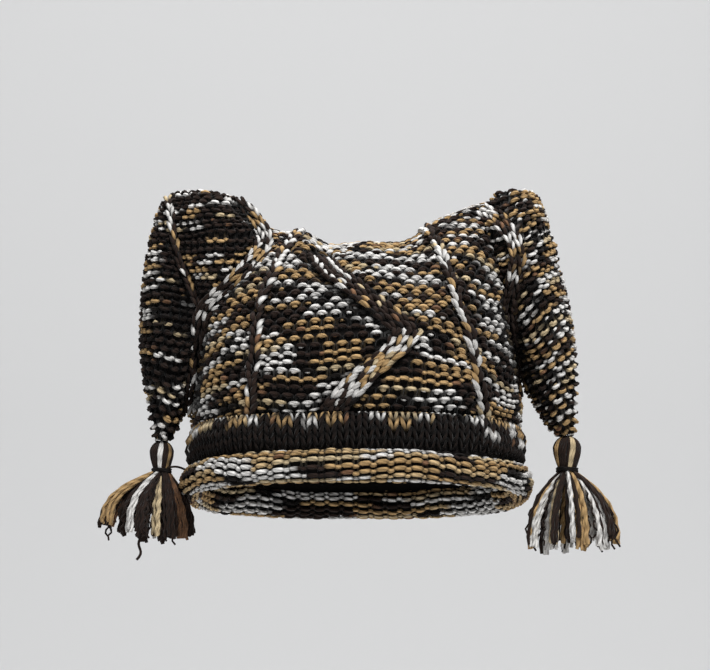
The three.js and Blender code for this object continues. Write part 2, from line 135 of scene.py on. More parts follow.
# Ear sections from the peak to the tip: where the outer and the inner end lie, how deep
# the section is, how far towards the face side, and where the fold in its face side lies
# (-1 at the inner end, 1 at the outer one) and how deep that is.
EAR_ROWS = {
    "right": np.array([
        # outer out, outer up, inner out, inner up, deep, ahead, crease, dent
        (0.10, 1.075, -0.06, 1.054, 0.20, 0.02, -0.50, 0.00),
        (0.30, 0.971, -0.22, 0.929, 0.55, 0.04, -0.50, 0.05),
        (0.42, 0.658, -0.29, 0.325, 0.80, 0.06, -0.50, 0.10),
        (0.52, 0.242, -0.31, -0.056, 0.95, 0.08, -0.50, 0.14),
        (0.62, -0.056, -0.29, -0.193, 1.00, 0.09, -0.50, 0.16),
        (0.72, -0.175, -0.24, -0.329, 0.98, 0.10, -0.50, 0.16),
        (0.82, -0.302, -0.18, -0.456, 0.92, 0.10, -0.50, 0.14),
        (0.90, -0.429, -0.11, -0.584, 0.84, 0.10, -0.50, 0.12),
        (0.96, -0.556, -0.06, -0.693, 0.74, 0.10, -0.40, 0.08),
        (0.98, -0.684, 0.00, -0.784, 0.62, 0.10, -0.30, 0.04),
        (0.97, -0.802, 0.18, -0.865, 0.46, 0.10, 0.00, 0.00),
        (0.97, -0.893, 0.35, -0.934, 0.31, 0.10, 0.00, 0.00),
        (0.96, -0.965, 0.50, -0.975, 0.19, 0.10, 0.00, 0.00),
    ]),
    "left": np.array([
        (0.10, 1.054, -0.08, 1.054, 0.20, 0.05, 0.50, 0.00),
        (0.43, 0.888, -0.27, 0.867, 0.60, 0.10, 0.55, 0.12),
        (0.60, 0.533, -0.40, 0.658, 0.84, 0.14, 0.55, 0.25),
        (0.70, 0.033, -0.49, 0.283, 0.98, 0.18, 0.52, 0.36),
        (0.78, -0.111, -0.53, -0.038, 1.06, 0.21, 0.46, 0.44),
        (0.83, -0.229, -0.51, -0.156, 1.08, 0.23, 0.38, 0.50),
        (0.86, -0.347, -0.44, -0.275, 1.04, 0.24, 0.25, 0.50),
        (0.87, -0.465, -0.31, -0.393, 0.95, 0.24, 0.05, 0.40),
        (0.86, -0.584, -0.18, -0.529, 0.84, 0.24, -0.10, 0.22),
        (0.82, -0.702, -0.09, -0.665, 0.70, 0.24, -0.20, 0.08),
        (0.73, -0.820, -0.04, -0.802, 0.52, 0.24, -0.20, 0.00),
        (0.67, -0.929, 0.03, -0.920, 0.34, 0.24, 0.00, 0.00),
        (0.63, -1.006, 0.20, -1.011, 0.20, 0.24, 0.00, 0.00),
    ]),
}
CREASE_WIDTH = 0.42
EAR_SIDE = {"right": 1.0, "left": -1.0}

# Shapes


def soft(value):
    """Signed power 2/n, which turns a circle's sine or cosine into a superellipse's."""
    return np.sign(value) * np.abs(value) ** (2 / SQUARENESS)


def blend_rows(rows, place):
    """Catmull-Rom blend of a table's rows at fractional row numbers.

    Between rows b and c, with neighbours a and d and t the fraction, each column is
    half of 2b + (c-a)t + (2a-5b+4c-d)t^2 + (3b-a-3c+d)t^3.
    """
    last = len(rows) - 1
    place = np.clip(place, 0, last)
    low = np.clip(np.floor(place).astype(int), 0, last - 1)
    t = (place - low)[..., None]
    a, b, c, d = (rows[np.clip(low + k, 0, last)] for k in (-1, 0, 1, 2))
    blend = 2 * b + (c - a) * t + (2 * a - 5 * b + 4 * c - d) * t ** 2
    return 0.5 * (blend + (3 * b - a - 3 * c + d) * t ** 3)


def crown_surface(angle, place, inset=0.0):
    """Superellipse rings whose half sizes follow the table, drawn up at the corners.

    x = (W w - inset) soft(cos a), y = (D d - inset) soft(sin a), and z climbs with the
    table's rise plus the share of corner lift |cos a|^1.5 and shoulder reached there.
    """
    row = blend_rows(CROWN_ROWS, place)
    up, width, depth, lift = (row[..., k] for k in range(4))
    half_width = width * CROWN_HALF[0] - inset
    half_depth = np.maximum(depth * CROWN_HALF[1] - inset, 0.8)
    x = half_width * soft(np.cos(angle))
    corner = CORNER_LIFT * np.abs(np.cos(angle)) ** CORNER_REACH
    return np.stack([
        x,
        half_depth * soft(np.sin(angle)),
        CROWN_BASE + up * (SEAM_RISE - inset) + lift * (corner + shoulder(x) + np.interp(x, *SEAM_WAVE.T)),
    ], axis=-1)


def crown_angle_at(x, place, inset):
    """The angle on the face side whose superellipse point has this x."""
    row = blend_rows(CROWN_ROWS, place)
    share = np.clip(x / (row[..., 1] * CROWN_HALF[0] - inset), -0.999, 0.999)
    return -np.arccos(np.sign(share) * np.abs(share) ** (SQUARENESS / 2))


def ear_end(out, up):
    """Place of a section's end from its shares of span, rise and drop."""
    x = CROWN_HALF[0] + np.where(out > 0, out * EAR_SPAN, out * CROWN_HALF[0])
    z = SEAM_HEIGHT + np.where(up > 0, up * EAR_RISE, up * EAR_DROP)
    return x, z


def ear_surface(side, angle, place, inset=0.0):
    """Oval sections from the peak to the tip, with the fold pressed into the face side.

    Half the depth is deep |sin a| (1 - dent e^-((cos a - crease) / width)^2) there. The
    inset also lowers the peak and lifts the tip.
    """
    row = blend_rows(EAR_ROWS[side], place)
    outer_x, outer_z = ear_end(row[..., 0], row[..., 1])
    inner_x, inner_z = ear_end(row[..., 2], row[..., 3])
    reach = np.hypot(outer_x - inner_x, outer_z - inner_z) / 2
    across = np.maximum(reach - inset, 0.8) / reach * np.cos(angle)
    deep = np.maximum(row[..., 4] * EAR_DEPTH / 2 - inset, 0.8)
    facing = EAR_SIDE[side] * np.sin(angle)
    fold = row[..., 7] * np.exp(-((np.cos(angle) - row[..., 6]) / CREASE_WIDTH) ** 2)
    last = len(EAR_ROWS[side]) - 1
    ends = 0.3 * np.clip(place - last + 1, 0, 1) - np.clip(1 - place, 0, 1)
    return np.stack([
        EAR_SIDE[side] * ((outer_x + inner_x) / 2 + (outer_x - inner_x) / 2 * across),
        -row[..., 5] * EAR_DEPTH - deep * facing * np.where(facing > 0, 1 - fold, 1),
        (outer_z + inner_z) / 2 + (outer_z - inner_z) / 2 * across + inset * ends,
    ], axis=-1)


def hoop_surface(half, base, height, profile, angle, place, inset=0.0):
    """A profile of (across, up) pairs, closed or open, carried round the mouth."""
    row = blend_rows(profile, place)
    across = row[..., 0] - inset * row[..., 2]
    return np.stack([
        (half[0] + across) * soft(np.cos(angle)),
        (half[1] + across) * soft(np.sin(angle)),
        base + row[..., 1] * height - inset * row[..., 3],
    ], axis=-1)


def with_normals(surface, angle, place):
    """A surface's points and unit normals, from small steps both ways round and up."""
    step_round, step_up = 2e-3, 4e-3
    points = surface(angle, place)
    round_way = surface(angle + step_round, place) - surface(angle - step_round, place)
    up_way = surface(angle, place + step_up) - surface(angle, place - step_up)
    normals = np.cross(round_way, up_way)
    length = np.linalg.norm(normals, axis=-1, keepdims=True)
    return points, normals / np.maximum(length, 1e-9), np.linalg.norm(up_way, axis=-1) / (2 * step_up)


# Yarn colours, as the light that the dyed yarn sends back (linear)

DARK = (0.026, 0.0150, 0.0110)
DEEP = (0.008, 0.0055, 0.0045)
WHITE = (0.80, 0.78, 0.75)
TAN = (0.50, 0.325, 0.150)
PALE_TAN = (0.62, 0.49, 0.30)
RUST = (0.22, 0.115, 0.062)

# A dark run that is turned light.
LIT_RUN = (0.60, 0.43, 0.23)

# One repeat of the dyed yarn: colour and length in stitches.
DYE_REPEAT = [
    (DARK, 2.9), (WHITE, 3.4), (DARK, 1.3), (TAN, 4.0), (RUST, 0.4), (DARK, 3.3),
    (WHITE, 3.9), (DEEP, 1.5), (PALE_TAN, 2.9), (WHITE, 1.9), (DARK, 2.3), (TAN, 3.6),
    (DEEP, 1.5), (WHITE, 3.1), (DARK, 2.0), (RUST, 0.4), (TAN, 3.0),
]


def dyed(stitches_along, seed, dark_share=0.0, stretch=1.0, light_share=0.0):
    """Colours along a yarn: runs of the repeat, each stretched a little, softly joined.

    A run's length is the table's times 1 +- 0.35, and two runs blend over a fifth of a
    stitch. dark_share turns that share of the runs dark, and light_share that share of the
    dark runs light.
    """
    dice = np.random.default_rng(seed)
    stitches_along = np.asarray(stitches_along) / stretch
    repeats = int(LONGEST_YARN / sum(run for _, run in DYE_REPEAT)) + 3
    lengths = np.array([run for _, run in DYE_REPEAT] * repeats)
    shades = np.array([shade for shade, _ in DYE_REPEAT] * repeats)
    lengths = lengths * dice.uniform(0.65, 1.35, len(lengths))
    start = int(dice.integers(len(DYE_REPEAT)))
    lengths, shades = np.roll(lengths, -start), np.roll(shades, -start, axis=0)
    shades = shades * dice.uniform(0.88, 1.1, (len(shades), 1))
    turned = (dice.random(len(shades)) < dark_share)[:, None]
    shades = np.where(turned, np.array(DARK) * 0.8, shades)
    lit = (dice.random(len(shades)) < light_share) & (shades[:, 0] < 2 * DARK[0])
    shades = np.where(lit[:, None], LIT_RUN, shades)
    ends = np.cumsum(lengths)
    run = np.minimum(np.searchsorted(ends, stitches_along), len(shades) - 2)
    near_end = np.clip(1 - (ends[run] - stitches_along) / 0.2, 0, 1)[:, None]
    return shades[run] * (1 - near_end / 2) + shades[run + 1] * near_end / 2


# Stitches in the longest yarn, and between the starts of two rounds.
LONGEST_YARN = 5200
ROUND_STEP = 71.3


def round_colour(course, along, seed, dark_share=0.0, stretch=1.0, light_share=0.0):
    """A round's colours: the feet of its loops lie among the heads of the round below,
    and are dyed with them, so each row that shows has runs of one colour."""
    fraction = along % 1
    foot = (fraction < 0.25) | (fraction > 0.75)
    return dyed(along + ROUND_STEP * (course + 1 - foot), seed, dark_share, stretch, light_share)


# Yarn into meshes


class Yarns:
    """Tubes gathered as whole arrays and written as one mesh of quads."""

    def __init__(self):
        self.points, self.quads, self.uvs, self.colours = [], [], [], []
        self.count = 0

    def add(self, path, lift, radius, colour, closed, sides=SIDES, narrow=1.0):
        """A tube round a path: ring k is path + r(narrow cos a side + sin a up).

        side is the unit cross product of the path's direction and lift, and up of side
        and direction. Open tubes are closed by quads at each end.
        """
        count = len(path)
        if closed:
            ahead = np.roll(path, -1, axis=0) - np.roll(path, 1, axis=0)
        else:
            ahead = np.gradient(path, axis=0)
        ahead /= np.maximum(np.linalg.norm(ahead, axis=1, keepdims=True), 1e-9)
        side = np.cross(ahead, lift)
        side /= np.maximum(np.linalg.norm(side, axis=1, keepdims=True), 1e-9)
        up = np.cross(side, ahead)
        turn = TAU * np.arange(sides) / sides
        radius = np.broadcast_to(radius, (count,))[:, None, None]
        ring = path[:, None] + radius * (
            narrow * np.cos(turn)[None, :, None] * side[:, None]
            + np.sin(turn)[None, :, None] * up[:, None])
        rows = count if closed else count - 1
        low, across = np.meshgrid(np.arange(rows), np.arange(sides), indexing="ij")
        high, beside = (low + 1) % count, (across + 1) % sides
        quads = np.stack([low * sides + across, low * sides + beside,
                          high * sides + beside, high * sides + across], axis=-1).reshape(-1, 4)
        step = np.linalg.norm(np.diff(path, axis=0, append=path[:1]), axis=1)
        along = np.concatenate([[0], np.cumsum(step)])
        uv = np.stack([
            np.stack([along[low], across / sides], -1),
            np.stack([along[low], (across + 1) / sides], -1),
            np.stack([along[low + 1], (across + 1) / sides], -1),
            np.stack([along[low + 1], across / sides], -1),
        ], axis=-2).reshape(-1, 4, 2)
        if not closed:
            first = np.arange(sides)
            last = first + (count - 1) * sides
            end = (sides - 2) // 2
            caps = [[first[0], first[2 * k + 3 - sides], first[2 * k + 2], first[2 * k + 1]]
                    for k in range(end)]
            caps += [[last[0], last[2 * k + 1], last[2 * k + 2], last[2 * k + 3 - sides]]
                     for k in range(end)]
            quads = np.concatenate([quads, np.array(caps)])
            uv = np.concatenate([uv, np.zeros((len(caps), 4, 2))])
        self.points.append(ring.reshape(-1, 3))
        self.quads.append(quads + self.count)
        self.uvs.append(uv)
        self.colours.append(np.repeat(np.broadcast_to(colour, (count, 3)), sides, axis=0))
        self.count += count * sides

    def add_painted_shade_sheet(self, surface, rows, around=96, along=40):
        """A dark sheet between the loops: painted shade that stands for the shadowed yarn deep in the
        cloth.
        """
        angle, place = np.meshgrid(np.linspace(0, TAU, around, endpoint=False),
                                   np.linspace(0, rows - 1, along), indexing="ij")
        points, normals, _ = with_normals(surface, angle.ravel(), place.ravel())
        i, j = np.meshgrid(np.arange(around), np.arange(along - 1), indexing="ij")
        beside = (i + 1) % around
        quads = np.stack([
            i * along + j, beside * along + j, beside * along + j + 1, i * along + j + 1,
        ], -1).reshape(-1, 4)
        self.points.append(points + normals * SHADE_SHEET_DEPTH)
        self.quads.append(quads + self.count)
        corners = points[quads]
        self.uvs.append(np.stack([corners[..., 0] + corners[..., 1], corners[..., 2]], -1))
        # The sheet's near-black colour is painted shade.
        self.colours.append(np.broadcast_to(np.array(DEEP), points.shape))
        self.count += len(points)

    def triangles(self):
        return 2 * sum(len(quads) for quads in self.quads)

    def write(self, name, material, slot, node=None):
        """Write the mesh with its yarn map and colours, and place it in the model."""
        points = np.concatenate(self.points) * MM
        quads = np.concatenate(self.quads)
        mesh = bpy.data.meshes.new(name)
        mesh.vertices.add(len(points))
        mesh.vertices.foreach_set("co", points.astype(np.float32).ravel())
        mesh.loops.add(quads.size)
        mesh.loops.foreach_set("vertex_index", quads.astype(np.int32).ravel())
        mesh.polygons.add(len(quads))
        mesh.polygons.foreach_set("loop_start", np.arange(0, quads.size, 4, dtype=np.int32))
        mesh.update(calc_edges=True)
        mesh.shade_smooth()
        layer = mesh.uv_layers.new(name="yarn_map")
        layer.data.foreach_set("uv", np.concatenate(self.uvs).astype(np.float32).ravel())
        colours = np.concatenate(self.colours)
        shades = mesh.color_attributes.new(name="yarn_colour", type="FLOAT_COLOR", domain="POINT")
        rgba = np.concatenate([colours, np.ones((len(colours), 1))], axis=1)
        shades.data.foreach_set("color", rgba.astype(np.float32).ravel())
        piece = bpy.data.objects.new(name, mesh)
        bpy.context.scene.collection.objects.link(piece)
        mesh.materials.append(material)
        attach(piece, "root")
        if node:
            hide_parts(node)
        print(name, self.triangles(), "triangles")
        return piece


# Stitches


def equal_angles(surface, place, start):
    """Angles round one ring and the arc length reached at each."""
    angle = start + np.linspace(0, TAU, 721)
    points = surface(angle, np.full_like(angle, place))
    step = np.linalg.norm(np.diff(points, axis=0), axis=1)
    return angle, np.concatenate([[0], np.cumsum(step)])


def wobble(stitches, points, size, dice):
    """A smooth random value for each path point, one new value a stitch."""
    knots = dice.normal(0, size, stitches)
    at = np.arange(points) * stitches / points
    return np.interp(at, np.arange(stitches + 1), np.append(knots, knots[0]))


def row_wave(angle, course):
    """How far rounds lie off level, in courses: bowed up at the cable, and a little uneven."""
    bow = 0.75 * np.exp(-((angle % TAU - 0.75 * TAU - 0.12) / 0.34) ** 2)
    return bow + 0.34 * np.sin(5 * angle + 0.21 * course) + 0.2 * np.sin(11 * angle - 0.37 * course)


def knit_course(surface, place_of, course, start, face, seed, width=STITCH_WIDTH, yarn=YARN_RADIUS,
                gauge=COURSE, whole=None, wave=row_wave):
    """One round of loops on a surface.

    With t running over 2 pi a stitch, a loop's point lies t/2pi + sway sin 2t - spread
    sin t stitches along the round, -rise |cos t|^flatness up it with the cosine's sign,
    and depth (face cos 2t) - forward cos t off the cloth. Face is 1 for the purl side,
    whose heads and feet stand out, and -1 for the knit side. The steps of t crowd
    together at the heads and feet.
    """
    dice = np.random.default_rng(seed)
    angles, lengths = equal_angles(surface, float(place_of(course)), start)
    stitches = whole or max(4, int(round(lengths[-1] / width)))
    sway, overlap = (PURL_SWAY, PURL_OVERLAP) if face > 0 else (KNIT_SWAY, KNIT_OVERLAP)
    spread, forward = (HEAD_SPREAD, HEAD_FORWARD) if face > 0 else (0.0, 0.0)
    step = TAU * np.arange(stitches * SEGMENTS) / SEGMENTS
    t = step - CROWDING * np.sin(2 * step)
    along = t / TAU + sway * np.sin(2 * t) - spread * np.sin(t)
    angle = np.interp((along % stitches) / stitches * lengths[-1], lengths, angles)
    flat = HEAD_FLATNESS if face > 0 else 1.0
    rise = -np.sign(np.cos(t)) * np.abs(np.cos(t)) ** flat * (gauge + overlap) / (2 * gauge)
    rise = rise + wobble(stitches, len(t), 0.05, dice) + wave(angle, course)
    place = place_of(course + rise)
    points, normals, stretch = with_normals(surface, angle, place)
    local = stretch * (place_of(course + 0.5) - place_of(course - 0.5)) / gauge
    size = np.clip(local, 0.45, 1.0)
    outness = face * np.cos(2 * t) - forward / LOOP_DEPTH * np.cos(t)
    depth = LOOP_DEPTH * outness * size ** 1.5 + wobble(stitches, len(t), 0.22, dice)
    radius = yarn * size * (1 + 0.12 * outness + wobble(stitches, len(t), 0.06, dice))
    # The last value is painted shade: darker where the yarn dives into the cloth.
    return points + normals * depth[:, None], normals, radius, t / TAU, painted_sunk_shade(outness)


def painted_sunk_shade(outness):
    """Painted shade on yarn that dives into the cloth: 0.05 at its deepest, 1 where it stands out."""
    share = np.clip((outness + 0.05) / 0.8, 0, 1)
    return (0.05 + 0.95 * share * share * (3 - 2 * share))[:, None]


def run_places(surface, rows, angle, gauge, closing=0.0):
    """How many courses fit along a line of a surface, and each course's place.

    The gauge narrows by the share `closing` from the line's start to its end.
    """
    place = np.linspace(0, rows - 1, 400)
    points = surface(np.full_like(place, angle), place)
    step = np.linalg.norm(np.diff(points, axis=0), axis=1)
    narrowed = gauge * (1 - closing * np.cumsum(step) / step.sum())
    reached = np.concatenate([[0], np.cumsum(step / narrowed)])
    count = int(round(reached[-1]))
    reached *= count / reached[-1]

    def place_of(course):
        return np.interp(np.asarray(course, dtype=float), reached, place)

    return count, place_of


def pieces_kept(keep):
    """Start and length of each kept stretch of a closed path, wrapping past its end."""
    if keep.all():
        return None
    start = int(np.argmin(keep))
    rolled = np.roll(keep, -start).astype(int)
    edges = np.diff(np.concatenate([[0], rolled, [0]]))
    begins, ends = np.flatnonzero(edges == 1), np.flatnonzero(edges == -1)
    return [((b + start) % len(keep), e - b) for b, e in zip(begins, ends) if e - b >= 4]


def height_over(points, samples, normals):
    """Distance of each point above the nearest of a surface's samples, along its normal."""
    heights = np.empty(len(points))
    for part in np.array_split(np.arange(len(points)), max(1, len(points) // 2000)):
        gap = points[part, None] - samples[None]
        nearest = np.argmin(np.einsum("ijk,ijk->ij", gap, gap), axis=1)
        offset = points[part] - samples[nearest]
        heights[part] = np.einsum("ij,ij->i", offset, normals[nearest])
    return heights


def dive_ends(path, lift, radius):
    """Both ends of a cut yarn sink into the cloth and thin out over their last points."""
    count = len(path)
    from_end = np.minimum(np.arange(count), np.arange(count)[::-1])
    sunk = np.clip(1 - from_end / 5, 0, 1)[:, None] ** 2
    return path - lift * 3.2 * sunk, lift, radius * (1 - 0.35 * sunk[:, 0])


def surface_samples(surface, rows, around, along):
    """Points and normals of a surface on a grid."""
    angle, place = np.meshgrid(np.linspace(0, TAU, around, endpoint=False),
                               np.linspace(0, rows - 1, along), indexing="ij")
    points, normals, _ = with_normals(surface, angle.ravel(), place.ravel())
    return points, normals


# Materials


def yarn_material(name, sheen=0.05):
    """Spun yarn: the colours stored on it, three plies that wind round it and fine fibres.

    The ply relief is sin(2 pi (3 v + u / pitch)) in the yarn map, u along the yarn in
    millimetres and v once round it, with fibre noise stretched along the plies. The relief
    also scales the colour from 0.62 to 1.12: painted shade in the grooves between the plies
    and painted light on their crests.
    """
    material = bpy.data.materials.new(name)
    material.use_nodes = True
    nodes, links = material.node_tree.nodes, material.node_tree.links
    shader = nodes["Principled BSDF"]
    shader.inputs["Roughness"].default_value = 0.88
    shader.inputs["Specular IOR Level"].default_value = 0.18
    shader.inputs["Sheen Weight"].default_value = sheen
    shader.inputs["Sheen Roughness"].default_value = 0.45

    uv = nodes.new("ShaderNodeUVMap")
    uv.uv_map = "yarn_map"
    split = nodes.new("ShaderNodeSeparateXYZ")
    links.new(uv.outputs[0], split.inputs[0])

    def maths(operation, first, second=None):
        node = nodes.new("ShaderNodeMath")
        node.operation = operation
        for socket, value in zip(node.inputs, (first, second)):
            if isinstance(value, (int, float)):
                socket.default_value = value
            elif value is not None:
                links.new(value, socket)
        return node.outputs[0]

    winding = maths("MULTIPLY", split.outputs[0], 1 / 6.5)
    around = maths("MULTIPLY", split.outputs[1], 3.0)
    phase = maths("MULTIPLY", maths("ADD", winding, around), TAU)
    ply = maths("MULTIPLY_ADD", maths("SINE", phase), 0.5)
    nodes[-1].inputs[2].default_value = 0.5

    fibres = nodes.new("ShaderNodeTexNoise")
    fibres.inputs["Scale"].default_value = 1.0
    fibres.inputs["Detail"].default_value = 3.0
    stretch = nodes.new("ShaderNodeCombineXYZ")
    links.new(maths("MULTIPLY", split.outputs[0], 0.9), stretch.inputs[0])
    links.new(maths("MULTIPLY", maths("ADD", winding, split.outputs[1]), 14.0), stretch.inputs[1])
    links.new(stretch.outputs[0], fibres.inputs["Vector"])

    height = maths("MULTIPLY_ADD", fibres.outputs["Fac"], 0.45)
    links.new(ply, nodes[-1].inputs[2])
    bump = nodes.new("ShaderNodeBump")
    bump.inputs["Strength"].default_value = 0.75
    bump.inputs["Distance"].default_value = 0.0006
    links.new(height, bump.inputs["Height"])
    links.new(bump.outputs[0], shader.inputs["Normal"])

    colour = nodes.new("ShaderNodeAttribute")
    colour.attribute_name = "yarn_colour"
    # Painted shade and light: the ply relief darkens the grooves and lightens the crests.
    shade = nodes.new("ShaderNodeMapRange")
    shade.inputs["To Min"].default_value = 0.62
    shade.inputs["To Max"].default_value = 1.12
    links.new(height, shade.inputs["Value"])
    shade.inputs["From Max"].default_value = 1.3
    mix = nodes.new("ShaderNodeVectorMath")
    mix.operation = "SCALE"
    links.new(colour.outputs["Color"], mix.inputs[0])
    links.new(shade.outputs[0], mix.inputs["Scale"])
    links.new(mix.outputs[0], shader.inputs["Base Color"])
    return material


knit_finish = yarn_material("marled_knit_yarn")
tassel_finish = yarn_material("tassel_yarn")

# Crown

FABRIC_INSET = 3.4
FRONT_MIDDLE = -TAU / 4


def crown_cloth(angle, place):
    return crown_surface(angle, place, FABRIC_INSET)


HEM_DEPTH = 9.0
HEM_LAP = 2.0


def hem_of(cloth):
    """A strip that runs on down from a cloth's lowest edge, behind the piece below."""
    def hem(angle, place):
        rise = HEM_LAP + (place - 1) * HEM_DEPTH
        return cloth(angle, 0.0 * place) + rise[..., None] * np.array([0.0, 0.0, 1.0])
    return hem


crown_samples = surface_samples(crown_cloth, len(CROWN_ROWS), 120, 50)
ear_samples = {}
for side in EAR_ROWS:
    def ear_cloth(angle, place, side=side):
        return ear_surface(side, angle, place, FABRIC_INSET)
    ear_samples[side] = surface_samples(ear_cloth, len(EAR_ROWS[side]), 40, 60)


SIDE_DROP = 2.3


def ease(value):
    """3 v^2 - 2 v^3 of a value held between 0 and 1."""
    held = np.clip(value, 0, 1)
    return held * held * (3 - 2 * held)


# How deep a yarn lies in the neighbouring form before it is left out.
CROWN_BURIED = 1.5
EAR_BURIED = 1.2
# Painted shade: how much darker a yarn is drawn where a raised strip presses it in.
PRESS_PAINTED_SHADE = 0.85
PRESS_DEPTH = 2.0
CROWN_SEED = 7


def add_kept(yarns, path, lift, radius, colour, kept):
    """A round of yarn whole, or as the runs that are kept, whose ends dive into the cloth."""
    runs = pieces_kept(kept)
    if runs is None:
        yarns.add(path, lift, radius, colour, True, narrow=PRESSED_YARN)
        return
    for start, length in runs:
        pick = (start + np.arange(length)) % len(path)
        run_path, run_lift, run_radius = dive_ends(path[pick], lift[pick], radius[pick])
        yarns.add(run_path, run_lift, run_radius, colour[pick], False, narrow=PRESSED_YARN)


def make_crown():
    """Rounds of purl loops from the band to the top seam, left out inside the ears.

    The rounds fall away at both sides of the face side and level out on the back.
    """
    courses, place_of = run_places(crown_cloth, len(CROWN_ROWS), FRONT_MIDDLE, COURSE, 0.26)

    def wave(angle, course):
        turned = np.abs((angle - FRONT_MIDDLE + TAU / 2) % TAU - TAU / 2)
        drop = ease((turned - 0.45) / 0.75) * (1 - ease((turned - 1.5) / 0.9))
        share = np.clip(min(course, courses - course) / 7, 0, 1)
        return row_wave(angle, course) - SIDE_DROP * share * drop

    thirds = {name: Yarns() for name in ("crown_lower_knit", "crown_middle_knit", "crown_upper_knit")}
    for course in range(courses + 1):
        path, lift, radius, along, shade = knit_course(
            crown_cloth, place_of, course, TAU / 4, 1, 100 + course, wave=wave)
        press = pressed(path)[:, None]
        path = path - lift * 2.0 * press
        # Painted shade: the loops darken where they dive into the cloth and where a raised strip presses
        # them in.
        colour = round_colour(course, along, CROWN_SEED) * shade * (1 - PRESS_PAINTED_SHADE * press)
        yarns = list(thirds.values())[min(2, int(3.1 * course / courses))]
        buried = np.full(len(path), 1e3)
        for points, normals in ear_samples.values():
            buried = np.minimum(buried, height_over(path, points, normals))
        add_kept(yarns, path, lift, radius, colour, buried > -CROWN_BURIED)
    # Painted shade: a near-black sheet under the crown's loops, and its hem behind the band.
    thirds["crown_lower_knit"].add_painted_shade_sheet(crown_cloth, len(CROWN_ROWS))
    thirds["crown_lower_knit"].add_painted_shade_sheet(hem_of(crown_cloth), 2, along=3)
    for name, yarns in thirds.items():
        yarns.write(name, knit_finish, "marled_knit", "crown")


# The ears' knit: height of a round, width of a stitch, share of the yarn's radius.
EAR_COURSE = 3.75
EAR_STITCH = 5.5
EAR_YARN = 0.98
# Seed and share of dark runs; the left ear's dark share is painted shade, as that ear lies in shade.
EAR_DYE_AND_SHADE = {"left": (17, 0.4), "right": (11, 0.0)}
EAR_DYE_STRETCH = {"left": 0.6, "right": 0.8}
# How far a round falls towards the crease, and the cosine of the crease's angle.
EAR_TILT = 1.9
EAR_CREASE = -0.5
# Painted shadow in the pocket behind the left ear's fold: middle, reach across and up.
POCKET_SHADOW = ((-90.0, 102.0), (9.0, 16.0))


def painted_pocket_shadow(points, side):
    """Painted shadow on the face side of the left ear's pocket: 1 - 0.85 e^-(distance / reach)^2."""
    if side == "right":
        return np.ones((len(points), 1))
    (x, z), (across, up) = POCKET_SHADOW
    gone = ((points[:, 0] - x) / across) ** 2 + ((points[:, 2] - z) / up) ** 2
    return (1 - 0.85 * np.exp(-gone) * (points[:, 1] < 0))[:, None]


def make_ear(side):
    """Rounds of purl loops from the ear's peak to its tip, lowest at its crease."""
    def cloth(angle, place):
        return ear_surface(side, angle, place, FABRIC_INSET)
    outer_edge = 0.0
    courses, place_of = run_places(cloth, len(EAR_ROWS[side]), outer_edge, EAR_COURSE)

    def tilt(angle, course):
        share = np.clip(min(course, courses - course) / 9, 0, 1)
        rise = EAR_TILT * share * np.hypot(np.cos(angle) - EAR_CREASE, 0.2)
        return -rise + 0.2 * np.sin(3 * angle + 0.4 * course)

    yarns = Yarns()
    # Painted shade: a near-black sheet under the ear's loops.
    yarns.add_painted_shade_sheet(cloth, len(EAR_ROWS[side]), around=36)
    for course in range(courses + 1):
        path, lift, radius, along, shade = knit_course(
            cloth, place_of, course, TAU / 2, 1, 300 + course, width=EAR_STITCH, yarn=EAR_YARN,
            gauge=EAR_COURSE, wave=tilt)
        press = pressed(path)[:, None]
        path = path - lift * PRESS_DEPTH * press
        # Painted shade and shadow: the left ear's extra dark runs, the loops' dive into the cloth, the
        # press beside the raised strips and the shadow in the left ear's pocket.
        colour = round_colour(course, along, *EAR_DYE_AND_SHADE[side], EAR_DYE_STRETCH[side])
        colour = colour * shade * (1 - PRESS_PAINTED_SHADE * press) * painted_pocket_shadow(path, side)
        over = height_over(path, *crown_samples)
        add_kept(yarns, path, lift, radius, colour, over > -EAR_BURIED)
    yarns.write("ear_knit_" + side, knit_finish, "marled_knit", "ear_" + side)


# Raised knit columns

PANEL_LINES = {
    # share of the crown's rise, and distance from the middle of the face side
    "left": [(0.0, -54.0), (0.57, -50.0), (0.85, -38.0), (1.0, -30.0)],
    "right": [(0.0, 66.0), (0.30, 61.5), (0.74, 47.6), (1.0, 37.0)],
}
CABLE_LINE = [
    (0.02, -12.0), (0.21, 6.0), (0.33, 21.0), (0.42, 26.0), (0.57, 9.0), (0.76, -13.0), (0.86, -20.0),
]

# From the top down, across and up: where the ears are joined to the crown.
EAR_LINES = {
    "left": [(-64, 158), (-48, 138), (-56, 120), (-65, 110), (-79, 98), (-82, 86), (-84, 67), (-87, 46)],
    "left_fold": [(-100, 162), (-97, 144), (-94, 128), (-88, 114), (-82, 99)],
    "right": [(66, 156), (77, 147), (85, 128), (82, 107), (81, 95), (84, 82), (87, 68), (90, 57)],
}


STRIP_GAUGE = 4.5
CABLE_STEP = 1.25
LEG_RISE = 2.3
LEG_SINK = 0.9
LEG_PARTS = 9


